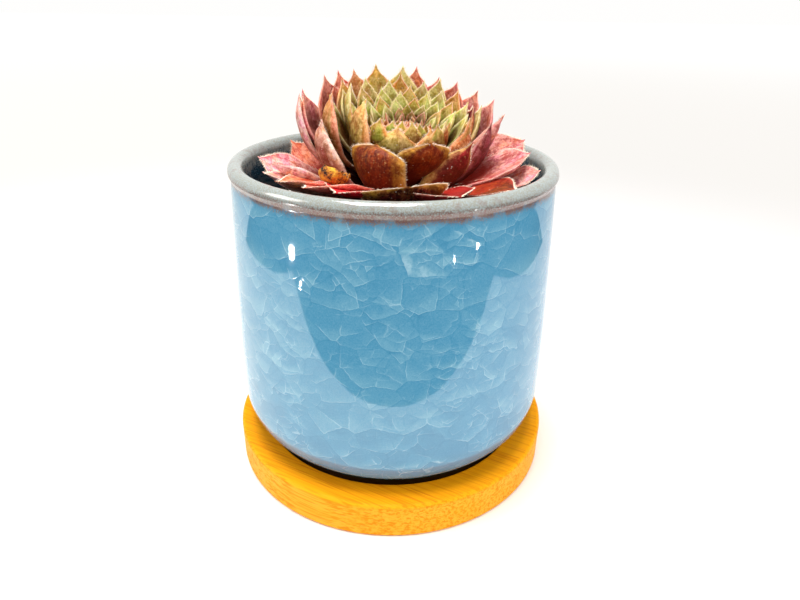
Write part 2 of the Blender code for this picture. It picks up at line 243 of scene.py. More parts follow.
bamboo = Finish("bamboo", {"Specular IOR Level": 0.10})
along = bamboo.moved(bamboo.place, (1 / MM,) * 3, (0, 0, GRAIN_TURN))
fibres = bamboo.cloud(bamboo.moved(along, (0.035, 1.6, 1.6)), 1.0, 2.0, 0.7)
bundles = bamboo.node("ShaderNodeTexVoronoi", {"feature": "F1"},
                      {"Vector": bamboo.moved(along, (0.04, 1.0, 1.0)), "Scale": 1.55})
strips = bamboo.node("ShaderNodeTexVoronoi", {"feature": "F1"},
                     {"Vector": bamboo.moved(along, (0.004, 0.19, 0.30)), "Scale": 1.0,
                      "Randomness": 0.35})
streaks = fibres.step(0.42, 0.70)
dots = bundles["Distance"].step(0.34, 0.16)
tone = bamboo.mix(streaks * 0.70, BAMBOO_YELLOW, BAMBOO_DARK)
tone = bamboo.mix(dots * 0.60, tone, BAMBOO_DARK)
side = bamboo.height().step(SAUCER_TOP + 0.2, SAUCER_TOP - 1.8)
tone = bamboo.mix(side * fibres.step(0.62, 0.38) * 0.6, tone, BAMBOO_PALE)
strip_tone = bamboo.node("ShaderNodeSeparateColor", None, {0: strips["Color"]})["Red"]
tone = bamboo.mix(strip_tone * 0.35, tone, BAMBOO_YELLOW)
# Painted shade: the recess floor round the pot's foot is coloured nearly black, as the shadow under the
# pot.
recess_shadow = bamboo.radius().step(RECESS_RADIUS + 0.3, RECESS_RADIUS - 0.3)
tone = bamboo.mix(recess_shadow * 0.96, tone, RECESS_SHADE)
bamboo.feed("Base Color", tone)
bamboo.feed("Roughness", 0.50 + streaks * 0.2)
bamboo.bump(fibres * 0.5 + dots * 0.5, 0.00006)

saucer = turned("saucer", rounded([
    (0.0, RECESS_FLOOR, 0), (RECESS_RADIUS, RECESS_FLOOR, 0.5), (RECESS_RADIUS, SAUCER_TOP, 0.45),
    (SAUCER_RADIUS, SAUCER_TOP, 0.9), (SAUCER_RADIUS, 0.0, 0.7), (0.0, 0.0, 0)]), ROUND_SIDES)
piece("saucer", saucer, bamboo, "bamboo", "bamboo_saucer")


# Glazed pot
# A thrown ceramic pot with a rounded lower corner and a beaded rim, dipped in blue glaze.
# The thick glaze has crazed into flakes inside it; on the rim it ran thin, grey above brown.

POT_BASE = 7.4
RIM_RADIUS = 38.0
RIM_TOP = 78.1
RIM_BEAD = 1.75
NECK_RADIUS = 37.45
BELLY_RADIUS = 39.3
CORNER = 12.7
WALL = 3.5
POT_FLOOR = 13.0
DRAIN_RADIUS = 4.0
# Heights between which each colour of the glaze comes in, and the radii of its two faces
BROWN_STARTS = (73.4, 75.0)
GREY_STARTS = (74.2, 75.6)
BROWN_ENDS = (76.8, 75.6)
COAT_INSIDE = (72.6, 75.8)
SATIN_RIM = (75.2, 76.2)
BARE_FOOT = (7.95, 7.75)
DEEPER_BELOW = (38.0, 16.0)
INNER_WALL = (36.0, 35.5)
OUTER_FACE = (36.5, 36.9)
GLAZE_BLUE = (0.072, 0.270, 0.430)
GLAZE_DEEP = (0.042, 0.205, 0.355)
GLAZE_PALE = (0.200, 0.420, 0.540)
GLAZE_LINE = (0.400, 0.600, 0.690)
GLAZE_GREY = (0.230, 0.232, 0.192)
RIM_BROWN = (0.150, 0.062, 0.050)
RIM_PALE = (0.285, 0.350, 0.370)
GLAZE_INSIDE = (0.012, 0.050, 0.085)
CLAY = (0.560, 0.500, 0.430)


def arc(cx, cz, radius, start, end, steps):
    """Points (radius, height) on an arc round (cx, cz), between two angles in degrees."""
    turns = [math.radians(start + (end - start) * i / steps) for i in range(steps + 1)]
    return [(cx + radius * math.cos(a), cz + radius * math.sin(a)) for a in turns]


def eased(points, steps):
    """A smooth run through (radius, height) points, by Catmull-Rom."""
    p = [Vector(points[0])] + [Vector(q) for q in points] + [Vector(points[-1])]
    out = []
    for i in range(1, len(p) - 2):
        for k in range(steps):
            t = k / steps
            out.append(tuple(0.5 * (2 * p[i] + (p[i + 1] - p[i - 1]) * t
                                    + (2 * p[i - 1] - 5 * p[i] + 4 * p[i + 1] - p[i + 2]) * t * t
                                    + (3 * p[i] - p[i - 1] - 3 * p[i + 1] + p[i + 2]) * t ** 3)))
    return out + [tuple(p[-1])]


glaze = Finish("blue_crackle_glaze", {"Roughness": 0.05, "IOR": 1.80})
wander = glaze.cloud(glaze.place, 150.0, 3.0)["Color"]
bent = glaze.node("ShaderNodeVectorMath", {"operation": "MULTIPLY_ADD"},
                  {0: wander, 1: (0.0024,) * 3, 2: glaze.place})


def flakes(scale, seed):
    """One layer of flakes: the cracks, a painted slope of light and shade over each flake and each
    one's tone.
    """
    where = glaze.moved(bent, (scale * 0.9, scale * 0.9, scale * 1.15),
                        shift=(seed, seed * 1.7, seed * 0.6))
    settings = {"Vector": where, "Scale": 1.0, "Randomness": 1.0}
    cells = glaze.node("ShaderNodeTexVoronoi", {"feature": "F1"}, settings)
    crack = glaze.node("ShaderNodeTexVoronoi", {"feature": "DISTANCE_TO_EDGE"}, settings)
    offset = glaze.node("ShaderNodeVectorMath", {"operation": "SUBTRACT"},
                        {0: where, 1: cells["Position"]})
    lean = glaze.node("ShaderNodeVectorMath", {"operation": "MULTIPLY_ADD"},
                      {0: cells["Color"], 1: (1.6, 1.6, 1.2), 2: (-0.8, -0.8, -1.5)})
    slope = glaze.node("ShaderNodeVectorMath", {"operation": "DOT_PRODUCT"},
                       {0: offset, 1: lean})["Value"]
    tone = glaze.node("ShaderNodeSeparateColor", None, {0: cells["Color"]})["Green"]
    return crack["Distance"], slope, tone


patch = glaze.cloud(glaze.place, 60.0, 2.0)
other_patch = glaze.cloud(glaze.moved(glaze.place, (1, 1, 1), shift=(0.3, 0, 0)), 75.0, 2.0)
fine = glaze.cloud(glaze.place, 3200.0, 3.0, 0.7)
faint = glaze.cloud(glaze.place, 260.0, 2.0).step(0.36, 0.60)
height = glaze.height()
light = 0.40 - height.step(*DEEPER_BELOW) * 0.30
lines, shades = 0.0, 0.0
for scale, seed, wide, strong, mask in ((160.0, 2.0, 0.018, 1.0, 1.0),
                                        (245.0, 7.0, 0.027, 0.9, patch.step(0.40, 0.58)),
                                        (380.0, 12.0, 0.038, 0.8, other_patch.step(0.46, 0.62))):
    # Painted light and shade: each flake is lighter towards one side and darker beside its crack, like
    # a tilted facet inside the glaze catching light; the bright crack lines show only on the lit side.
    crack, slope, tone = flakes(scale, seed)
    lines = crack.step(wide * 1.5, wide * 0.3) * slope.step(0.02, 0.42) * mask * strong * faint + lines
    shades = crack.step(wide * 3.5, wide) * slope.step(-0.02, -0.40) * mask * strong + shades
    light = (slope.step(0.0, 0.75) * 0.26 + (tone - 0.5) * 0.12) * mask * strong + light
body = glaze.node("ShaderNodeValToRGB", {"stops": (
    (0.0, (*GLAZE_DEEP, 1)), (0.35, (*GLAZE_BLUE, 1)), (1.0, (*GLAZE_PALE, 1)))},
    {0: light - shades * 0.12 + (fine - 0.5) * 0.75})
body = glaze.mix(lines.maths("MINIMUM", 1.0) * (0.15 + fine * 0.75), body, GLAZE_LINE)
ragged = glaze.cloud(glaze.place, 420.0, 3.0)
level = height + (ragged - 0.5) * 1.3 + (patch - 0.5) * 1.0
radius = glaze.radius()
grey = glaze.mix(fine.step(0.40, 0.60) * 0.7, GLAZE_GREY, RIM_PALE)
grey = glaze.mix(ragged.step(0.52, 0.66) * 0.30, grey, RIM_BROWN)
body = glaze.mix((level + (fine - 0.5) * 5.0).step(*GREY_STARTS), body, grey)
brown = (level + (fine - 0.5) * 4.0).step(*BROWN_STARTS)
brown = brown * (level + (fine - 0.5) * 3.0).step(*BROWN_ENDS) * radius.step(*OUTER_FACE)
speckled = glaze.mix(fine.step(0.48, 0.60) * 0.55, RIM_BROWN, GLAZE_GREY)
body = glaze.mix(brown * (0.62 + ragged.step(0.35, 0.55) * 0.38), body, speckled)
coat = (height + (ragged - 0.5) * 9.0 + (fine - 0.5) * 6.0).step(*COAT_INSIDE)
body = glaze.mix(radius.step(*INNER_WALL), body, glaze.mix(coat, GLAZE_INSIDE, grey))
foot_line = height + (ragged - 0.5) * 0.5
body = glaze.mix(foot_line.step(*BARE_FOOT), body, CLAY)
glaze.feed("Base Color", body)
on_rim = height.step(*SATIN_RIM)
glaze.feed("Roughness", foot_line.step(7.9, 7.7) * 0.7 + brown * 0.14 + on_rim * 0.09 + 0.045)
glaze.bump(patch * 1.0 + lines * 0.08 + ragged * on_rim * 0.8, 0.00012, 0.5)

outer_wall = [
    (RIM_RADIUS - 0.02, RIM_TOP - 2.1), (NECK_RADIUS + 0.12, RIM_TOP - 2.9),
    (NECK_RADIUS + 0.04, RIM_TOP - 3.8), (NECK_RADIUS + 0.35, RIM_TOP - 8.0),
    (NECK_RADIUS + 1.2, 52.0), (BELLY_RADIUS - 0.1, 36.0), (BELLY_RADIUS, POT_BASE + CORNER + 1.6)]
bead = arc(RIM_RADIUS - RIM_BEAD, RIM_TOP - RIM_BEAD, RIM_BEAD, 150, -10, 20)
corner = arc(BELLY_RADIUS - CORNER, POT_BASE + CORNER + 0.7, CORNER, 0, -82, 20)
inner_corner = arc(BELLY_RADIUS - WALL - 11.0, POT_FLOOR + 11.0, 11.0, -90, 0, 8)
pot = turned("pot", bead + eased(outer_wall, 6) + corner + [
    (24.0, POT_BASE), (20.5, POT_BASE), (19.8, POT_BASE + 0.7), (DRAIN_RADIUS + 0.5, POT_BASE + 0.7),
    (DRAIN_RADIUS, POT_BASE + 1.2), (DRAIN_RADIUS, POT_FLOOR - 0.5), (DRAIN_RADIUS + 0.5, POT_FLOOR),
] + inner_corner + [
    (BELLY_RADIUS - WALL - 0.2, 40.0), (NECK_RADIUS + 1.0 - WALL, 55.0),
    (NECK_RADIUS - WALL + 0.3, 68.0), (NECK_RADIUS - WALL + 0.42, RIM_TOP - 2.2)], ROUND_SIDES)
piece("pot", pot, glaze, "blue_crackle_glaze", "glazed_pot")


# Potting soil
# Dark peat soil fills the pot to below the rim and closes round the stem.
# Crumbs of it and a few grains of perlite lie loose on top.

SOIL_TOP = 65.2
SOIL_LUMP = 0.8
STEM = Vector((0.5, 5.5, 0.0))
STEM_HOLE = 3.3
STEM_HOLE_FLOOR = 51.7
SOIL_RINGS = 24
SOIL_DARK = (0.020, 0.013, 0.009)
SOIL_LIGHT = (0.075, 0.048, 0.032)
PERLITE_GREY = (0.30, 0.27, 0.22)
PERLITE_WHITE = (0.72, 0.69, 0.62)


def soil_height(x, y):
    """The lumpy surface: broad mounds with small bumps on them."""
    lump = SOIL_LUMP * noise.noise(Vector((x * 0.16, y * 0.16, 3.0)))
    return SOIL_TOP + lump + 0.35 * noise.noise(Vector((x * 0.8, y * 0.8, 9.0)))


def soil_mesh(sides=96):
    """Rings from the foot of the stem's hole over the surface and down inside the pot."""
    inner = BELLY_RADIUS - WALL - 0.3
    wall_top = NECK_RADIUS - WALL + 0.05
    verts, rows = [], []

    def ring(centre, radius, height):
        """A ring of points, on the soil's surface where no height is given."""
        row = []
        for k in range(sides):
            a = 2 * math.pi * k / sides
            x, y = centre.x + radius * math.cos(a), centre.y + radius * math.sin(a)
            row.append(len(verts))
            verts.append((x * MM, y * MM, (soil_height(x, y) if height is None else height) * MM))
        rows.append(row)

    ring(STEM, STEM_HOLE, STEM_HOLE_FLOOR)
    for i in range(SOIL_RINGS + 1):
        radius = STEM_HOLE + (wall_top - STEM_HOLE) * i / SOIL_RINGS
        ring(STEM * (1.0 - i / SOIL_RINGS), radius, None)
    for radius, height in ((NECK_RADIUS + 0.7 - WALL, 55.0), (inner - 0.25, 40.0)):
        ring(Vector((0, 0, 0)), radius, height)
    for radius, height in arc(inner - 10.85, POT_FLOOR + 11.3, 10.8, 0, -90, 6):
        ring(Vector((0, 0, 0)), radius, height)
    faces = [rows[0]]
    for low, high in zip(rows, rows[1:]):
        faces += [[low[k], high[k], high[(k + 1) % sides], low[(k + 1) % sides]] for k in range(sides)]
    faces.append(rows[-1][::-1])
    return smooth_mesh("soil", verts, faces)


peat = Finish("potting_soil", {"Roughness": 0.95})
grain = peat.cloud(peat.place, 900.0, 4.0, 0.7)
peat.feed("Base Color", peat.mix(grain.step(0.4, 0.7), SOIL_DARK, SOIL_LIGHT))
peat.bump(grain, 0.0004)
perlite = Finish("perlite", {"Roughness": 0.9})
pores = perlite.cloud(perlite.place, 3000.0)
perlite.feed("Base Color", perlite.mix(pores.step(0.35, 0.6), PERLITE_GREY, PERLITE_WHITE))
perlite.bump(pores, 0.0001)

soil = piece("soil", soil_mesh(), peat, "potting_soil", "potting_soil")


class Recipe(Tree):
    """A Geometry Nodes tree whose first input is the mesh it works on."""

    def __init__(self, name, sizes):
        super().__init__(bpy.data.node_groups.new(name, "GeometryNodeTree"))
        sides = self.tree.interface
        sides.new_socket("Geometry", in_out="OUTPUT", socket_type="NodeSocketGeometry")
        sides.new_socket("Geometry", in_out="INPUT", socket_type="NodeSocketGeometry")
        for label, value in sizes.items():
            kind = "NodeSocketInt" if isinstance(value, int) else "NodeSocketFloat"
            sides.new_socket(label, in_out="INPUT", socket_type=kind)
        self.sizes = sizes
        self.given = self.node("NodeGroupInput")

    def close(self, shapes, material):
        """Ends the tree: instances become plain faces of one material."""
        real = self.node("GeometryNodeRealizeInstances", None, {"Geometry": shapes})
        done = self.node("GeometryNodeSetMaterial", None, {"Geometry": real, "Material": material})
        self.node("NodeGroupOutput", None, {"Geometry": done})

    def run(self, name, mesh):
        """Runs the tree on a mesh and returns what it makes as a plain mesh."""
        host = bpy.data.objects.new(name, mesh)
        bpy.context.scene.collection.objects.link(host)
        worker = host.modifiers.new(name, "NODES")
        worker.node_group = self.tree
        for item in self.tree.interface.items_tree:
            if item.in_out == "INPUT" and item.name in self.sizes:
                worker[item.identifier] = self.sizes[item.name]
        graph = bpy.context.evaluated_depsgraph_get()
        made = bpy.data.meshes.new_from_object(host.evaluated_get(graph))
        bpy.data.objects.remove(host, do_unlink=True)
        made.name = name
        return made


def scatter(name, finish, slot, density, small, large, flat, seed):
    """Grains of one kind, strewn over the soil's top by a Geometry Nodes tree."""
    recipe = Recipe(name, {"Density": density, "Smallest": small, "Largest": large, "Seed": seed})
    facing, height = [recipe.node("ShaderNodeSeparateXYZ", None, {0: recipe.node(kind)})["Z"]
                      for kind in ("GeometryNodeInputNormal", "GeometryNodeInputPosition")]
    upward = recipe.node("FunctionNodeBooleanMath", {"operation": "AND"}, {
        0: recipe.node("FunctionNodeCompare", {"operation": "GREATER_THAN"}, {"A": facing, "B": 0.5}),
        1: recipe.node("FunctionNodeCompare", {"operation": "GREATER_THAN"},
                       {"A": height, "B": (SOIL_TOP - 2.2) * MM})})
    spots = recipe.node("GeometryNodeDistributePointsOnFaces", {"distribute_method": "RANDOM"}, {
        "Mesh": recipe.given["Geometry"], "Selection": upward, "Density": recipe.given["Density"],
        "Seed": recipe.given["Seed"]})
    ball = recipe.node("GeometryNodeMeshIcoSphere", None, {"Radius": 1.0, "Subdivisions": 2})
    dents = recipe.node("ShaderNodeTexNoise", None, {"Scale": 1.1, "Detail": 1.0})["Color"]
    push = recipe.node("ShaderNodeVectorMath", {"operation": "MULTIPLY_ADD"},
                       {0: dents, 1: (1.5,) * 3, 2: (-0.75,) * 3})
    lump = recipe.node("GeometryNodeSetPosition", None, {"Geometry": ball, "Offset": push})
    size = recipe.node("FunctionNodeRandomValue", {"data_type": "FLOAT"}, {
        "Min": recipe.given["Smallest"], "Max": recipe.given["Largest"], "Seed": recipe.given["Seed"]})
    turn = recipe.node("FunctionNodeRandomValue", {"data_type": "FLOAT_VECTOR"}, {
        "Max": (6.28,) * 3, "Seed": recipe.given["Seed"]})
    shape = recipe.node("ShaderNodeVectorMath", {"operation": "SCALE"}, {0: flat, "Scale": size})
    grains = recipe.node("GeometryNodeInstanceOnPoints", None, {
        "Points": spots["Points"], "Instance": lump, "Rotation": turn, "Scale": shape})
    recipe.close(grains, finish.material)
    piece(name, recipe.run(name, soil.data.copy()), finish, slot)


scatter("soil_crumbs", peat, "potting_soil", 320000.0, 0.00025, 0.0009, (1.0, 0.85, 0.7), 4)
scatter("perlite_grains", perlite, "potting_soil", 9000.0, 0.0004, 0.0009, (1.0, 0.9, 0.8), 11)


# Rosette
# One houseleek head. Fleshy leaves stand round a tight green heart, each with a bent
# midrib, a cupped face and a sharp drawn out point; the outer ones are flushed red.

ROSETTE_FOOT = Vector((0.5, 4.0, 70.0))
LEAN_FRONT = math.radians(14.0)
LEAN_RIGHT = math.radians(5.0)
FOOT_DRIFT = Vector((0.3, 3.5, 1.5))
GOLDEN_ANGLE = 137.508
LEAF_STATIONS = 26
LEAF_SECTION = 8

# Each tint is red, green, blue, and how far green patches show through.
TINTS = {
    "lime": (0.880, 0.920, 0.280, 0.8),
    "straw": (1.000, 0.900, 0.500, 0.5),
    "olive": (0.700, 0.500, 0.130, 1.0),
    "moss": (0.560, 0.390, 0.090, 1.0),
    "fern": (0.600, 0.540, 0.150, 1.0),
    "ochre": (0.640, 0.360, 0.050, 0.8),
    "tan": (0.950, 0.480, 0.240, 0.6),
    "bronze": (0.500, 0.190, 0.030, 0.6),
    "rust": (0.300, 0.046, 0.006, 0.8),
    "garnet": (0.380, 0.022, 0.022, 0.2),
    "clay": (0.660, 0.210, 0.070, 0.5),
    "rose": (0.720, 0.150, 0.160, 0.1),
    "mauve": (0.700, 0.290, 0.270, 0.2),
    "pink": (1.000, 0.500, 0.430, 0.1),
    "coral": (1.000, 0.420, 0.300, 0.1),
    "crimson": (0.800, 0.014, 0.030, 0.0),
    "blush": (1.000, 0.740, 0.660, 0.0),
    "peach": (1.000, 0.430, 0.290, 0.1),
    "plum": (0.300, 0.050, 0.060, 0.0),
    "wine": (0.110, 0.009, 0.010, 0.0),
}
# How far along the leaf its pale point begins; dark leaves keep their colour longer.
DARK_TINTS = ("rust", "garnet", "plum", "wine")
PALE_FROM = 0.50
DARK_PALE_FROM = 0.85


def leaf_width(u, widest):
    """A leaf's width from its foot (u = 0) to its point (u = 1), as a share of the greatest."""
    if u < widest:
        return 0.5 + 0.5 * math.sin(math.pi / 2 * u / widest) ** 1.3
    x = (u - widest) / (1 - widest)
    return max(math.cos(math.pi / 2 * min(1.0, x / 0.86)) ** 0.95, 0.50 * (1 - x))


def midrib(foot, tip, bend, early, stations):
    """Points (radius, height, slope) along a curve that turns by bend between foot and tip."""
    chord = math.atan2(tip[1] - foot[1], tip[0] - foot[0])
    fine = 200
    r, h, path = 0.0, 0.0, []
    for i in range(fine + 1):
        u = i / fine
        slope = chord + math.radians(bend) * (1 - 2 * (1 - u) ** early)
        if i:
            middle = (slope + path[-1][2]) / 2
            r += math.cos(middle) / fine
            h += math.sin(middle) / fine
        path.append((r, h, slope))
    scale = math.hypot(tip[0] - foot[0], tip[1] - foot[1]) / math.hypot(r, h)
    turn = chord - math.atan2(h, r)
    out = []
    for u in stations:
        r, h, slope = path[round(u * fine)]
        out.append((foot[0] + scale * (r * math.cos(turn) - h * math.sin(turn)),
                    foot[1] + scale * (r * math.sin(turn) + h * math.cos(turn)), slope + turn))
    return out


class Foliage:
    """Collects leaves, with what the finish and the hairs need to know about each."""

    def __init__(self, origin, axis, right, back, drift, seed):
        self.origin, self.axis, self.right, self.back, self.drift = origin, axis, right, back, drift
        self.draw = random.Random(seed)
        self.verts, self.faces, self.place, self.body, self.edge = [], [], [], [], []
        self.roots, self.aims = [], []

    def leaf(self, azimuth, tip, foot, width, bend, roll=0.0, early=1.7, sweep=0.0, widest=0.66,
             thick=1.8, cup=0.14, body="olive", edge="bronze", hair=0.52, wave=0.16, pale_from=None):
        """One leaf from its foot on the stem to its tip, both (radius, height) from the origin.

        Its body tint gives way to the edge tint from pale_from on, as a share of its length.
        """
        pale_from = pale_from or (DARK_PALE_FROM if body in DARK_TINTS else PALE_FROM)
        a = math.radians(azimuth)
        radial = self.right * math.cos(a) + self.back * math.sin(a)
        across = self.back * math.cos(a) - self.right * math.sin(a)
        stations = [1 - (1 - i / LEAF_STATIONS) ** 1.15 for i in range(LEAF_STATIONS)] + [1.0]
        n = LEAF_SECTION
        # over the upper side from one margin to the other, then back along the underside
        section = [(-math.cos(math.pi * k / n), 1) for k in range(n + 1)]
        section += [(math.cos(math.pi * k / n), -1) for k in range(1, n)]
        shift = self.draw.uniform(0, 50)
        warm = self.draw.uniform(-0.10, 0.10)
        first = len(self.verts)
        margins = ([], [])
        count = len(section)
        for u, (r, h, slope) in zip(stations, midrib(foot, tip, bend, early, stations)):
            centre = self.origin + radial * r + self.axis * h + self.drift * (1 - u) ** 1.3
            centre += across * sweep * (1 - u) ** 1.4
            along = radial * math.cos(slope) + self.axis * math.sin(slope)
            normal = self.axis * math.cos(slope) - radial * math.sin(slope)
            t = math.radians(roll) * u
            side = across * math.cos(t) + normal * math.sin(t)
            face = normal * math.cos(t) - across * math.sin(t)
            if u == 1.0:
                self.verts.append(centre * MM)
                self.note(1.0, 0.0, 0.0, body, edge, pale_from, warm)
                break
            half = width / 2 * leaf_width(u, widest)
            depth = thick * (0.35 + 0.65 * math.sin(math.pi * max(u, 0.12) ** 0.9) ** 0.6)
            depth *= min(1.0, (1 - u) * 6) ** 0.7
            fade = min(1.0, (1 - u) * 5)
            for v, layer in section:
                # a cupped lens with a keel below, and waves that die out at the point
                lens = math.sqrt(max(0.0, 1 - v * v)) ** 0.85
                z = cup * half * 2 * (v * v - 0.4)
                z += lens * depth * (0.25 if layer > 0 else -0.75)
                if layer < 0:
                    z -= 0.10 * depth * max(0.0, 1 - abs(v) * 4)
                ripple = wave * fade * noise.noise(Vector((shift + v * 1.3, u * 4.0, 2.0)))
                ripple += 0.4 * wave * fade * abs(v) ** 3 * math.sin(u * 23 + shift + 2 * v)
                self.verts.append((centre + side * half * v + face * (z + ripple)) * MM)
                self.note(u, v, layer * lens, body, edge, pale_from, warm)
            row = len(self.verts) - count
            for k, way in ((0, -1), (n, 1)):
                margins[k > 0].append((u, self.verts[row + k].copy(), side * way, along, face))
        rows = LEAF_STATIONS
        for i in range(rows - 1):
            near, far = first + i * count, first + (i + 1) * count
            for k in range(count):
                m = (k + 1) % count
                self.faces.append((near + k, near + m, far + m, far + k))
        last, apex = first + (rows - 1) * count, len(self.verts) - 1
        for k in range(count):
            self.faces.append((last + k, last + (k + 1) % count, apex))
        self.faces.append(tuple(first + k for k in reversed(range(count))))
        if hair:
            self.comb(margins, hair)

    def note(self, u, v, face, body, edge, pale_from, warm):
        """Keeps what the finish needs at one point: its place on the leaf and the two tints."""
        self.place.append((u, v, face))
        *tone, green = TINTS[body]
        self.body.append((*(x * (1 + warm) for x in tone), green))
        self.edge.append((*TINTS[edge][:3], pale_from))

    def comb(self, margins, hair, gap=0.38):
        """Sets hair roots along both margins from a third of the leaf on, closest at the point."""
        for margin in margins:
            travelled = 0.0
            for (u, p, out, along, face), (_, q, *_) in zip(margin, margin[1:]):
                step = (q - p).length / MM
                while travelled < step and u > 0.30:
                    t = travelled / step
                    aim = out + along * self.draw.uniform(0.2, 1.2)
                    aim += face * self.draw.uniform(-0.6, 0.6)
                    tuft = min(1.0, max(0.0, (u - 0.82) * 12))
                    size = hair * self.draw.uniform(0.6, 1.15) * (1 + 0.4 * tuft)
                    self.roots.append(p.lerp(q, t))
                    self.aims.append(aim.normalized() * size * MM)
                    travelled += gap * self.draw.uniform(0.7, 1.3) * (1 - 0.6 * tuft)
                travelled = max(0.0, travelled - step)

    def mesh(self, name):
        """The leaves as one mesh, with the attributes that the finish reads."""
        mesh = smooth_mesh(name, self.verts, self.faces)
        for label, kind, field, values in (("place", "FLOAT_VECTOR", "vector", self.place),
                                           ("body", "FLOAT_COLOR", "color", self.body),
                                           ("edge", "FLOAT_COLOR", "color", self.edge)):
            layer = mesh.attributes.new(label, kind, "POINT")
            layer.data.foreach_set(field, [x for value in values for x in value])
        return mesh

    def root_mesh(self, name):
        """Loose points at the hair roots, each with its hair's direction and length."""
        mesh = bpy.data.meshes.new(name)
        mesh.from_pydata(self.roots, [], [])
        layer = mesh.attributes.new("aim", "FLOAT_VECTOR", "POINT")
        layer.data.foreach_set("vector", [x for aim in self.aims for x in aim])
        return mesh


GREENER = (0.72, 1.25, 0.60)
PURPLER = (0.98, 0.60, 1.02)
ORANGER = (1.15, 0.95, 0.50)
DARKER = (0.50, 0.40, 0.35)
PAINTED_FOOT_SHADE = (0.014, 0.003, 0.006)
LEAF_CREAM = (1.0, 0.85, 0.60)
DUST = (0.95, 0.85, 0.75)


def leaf_finish(name, gloss, under, foot_tint_and_shade, foot_reach):
    """Living leaf: dark at the foot, partly as painted shade, pale at the point and margin, mottled
    green and red.
    """
    skin = Finish(name, {"Specular IOR Level": 0.14, "IOR": 1.45})
    spread = skin.node("ShaderNodeSeparateXYZ", None, {0: skin.node(
        "ShaderNodeAttribute", {"attribute_name": "place"})["Vector"]})
    u, v, face = spread["X"], abs(spread["Y"]), spread["Z"]
    body = skin.node("ShaderNodeAttribute", {"attribute_name": "body"})
    edge = skin.node("ShaderNodeAttribute", {"attribute_name": "edge"})
    patches = skin.cloud(skin.place, 210.0, 2.0, 0.6)
    blotch = skin.cloud(skin.moved(skin.place, (1, 1, 1), shift=(0.4, 0.1, 0)), 700.0, 3.0, 0.65)
    mottle = skin.cloud(skin.place, 1900.0, 3.0, 0.7)
    stretch = skin.node("ShaderNodeCombineXYZ", None, {0: u * 1.1, 1: spread["Y"] * 6.0, 2: face * 0.4})
    veins = skin.cloud(stretch, 2.6, 3.0, 0.6)
    loose = (patches - 0.5) * 0.55 + (blotch - 0.5) * 0.35
    # green patches, then the edge tint at the point and the margins
    band = patches.step(0.47, 0.60).maths("MAXIMUM", (v + loose * 0.6).step(0.40, 0.75)) * body["Alpha"]
    tone = skin.mix(band * 0.75, body["Color"], skin.tinted(body["Color"], GREENER))
    tone = skin.mix((u + loose - edge["Alpha"]).step(0.0, 0.5) * 0.60, tone, edge["Color"])
    border = (v + loose * 0.5).step(0.54, 0.96)
    tone = skin.mix(border * 0.75, tone, edge["Color"])
    # purple and orange flushes, and deeper blotches and veins
    flush = skin.cloud(skin.moved(skin.place, (1, 1, 1), shift=(0.1, 0.7, 0)), 330.0, 3.0, 0.6)
    purple = flush.step(0.52, 0.38) * (0.62 - body["Alpha"] * 0.42)
    tone = skin.mix(purple, tone, skin.tinted(tone, PURPLER))
    tone = skin.mix(flush.step(0.54, 0.66) * 0.50, tone, skin.tinted(tone, ORANGER))
    deep = skin.tinted(skin.tinted(tone, tone), under)
    tone = skin.mix(blotch.step(0.57, 0.43) * 0.55 + veins.step(0.56, 0.38) * 0.35, tone, deep)
    # the dark foot, partly the leaf's own deep red and partly painted shade, whose own margins stay
    # lighter
    tone = skin.mix((u + loose * 0.8).step(foot_reach, 0.50) * (0.94 - border * 0.60), tone, foot_tint_and_shade)
    # Painted shade: the lowest part of every leaf, deep among the others, goes near black.
    tone = skin.mix((u + loose * 0.3).step(0.42, 0.16), tone, PAINTED_FOOT_SHADE)
    # fine mottling, the thin pale line of the margin and dust
    pale = skin.mix(0.25, edge["Color"], LEAF_CREAM)
    tone = skin.mix(mottle.step(0.55, 0.40) * 0.40, tone, skin.tinted(tone, DARKER))
    tone = skin.mix(mottle.step(0.56, 0.74) * u.step(0.35, 0.95) * 0.40, tone, pale)
    line = (v + (mottle - 0.5) * 0.10).step(0.92, 0.99) * u.step(0.30, 0.7)
    tone = skin.mix(line * 0.40, tone, pale)
    specks = skin.node("ShaderNodeTexVoronoi", {"feature": "F1"},
                       {"Vector": skin.place, "Scale": 1150.0})
    chosen = skin.node("ShaderNodeSeparateColor", None, {0: specks["Color"]})["Red"].step(0.82, 0.86)
    dust = specks["Distance"].step(0.20, 0.11) * chosen
    tone = skin.mix(dust * 0.5, tone, DUST)
    skin.feed("Base Color", tone)
    skin.feed("Roughness", gloss + mottle.step(0.35, 0.7) * 0.2)
    skin.bump(veins * 0.4 + mottle * 0.7 + blotch * 0.6 + dust * 0.6, 0.00020, 0.9)
    return skin


axis = Vector((math.sin(LEAN_RIGHT), -math.sin(LEAN_FRONT), 0.0))
axis.z = math.sqrt(1 - axis.length_squared)
right = Vector((0, 1, 0)).cross(axis).normalized()
head = Foliage(ROSETTE_FOOT, axis, right, axis.cross(right), FOOT_DRIFT, 21)

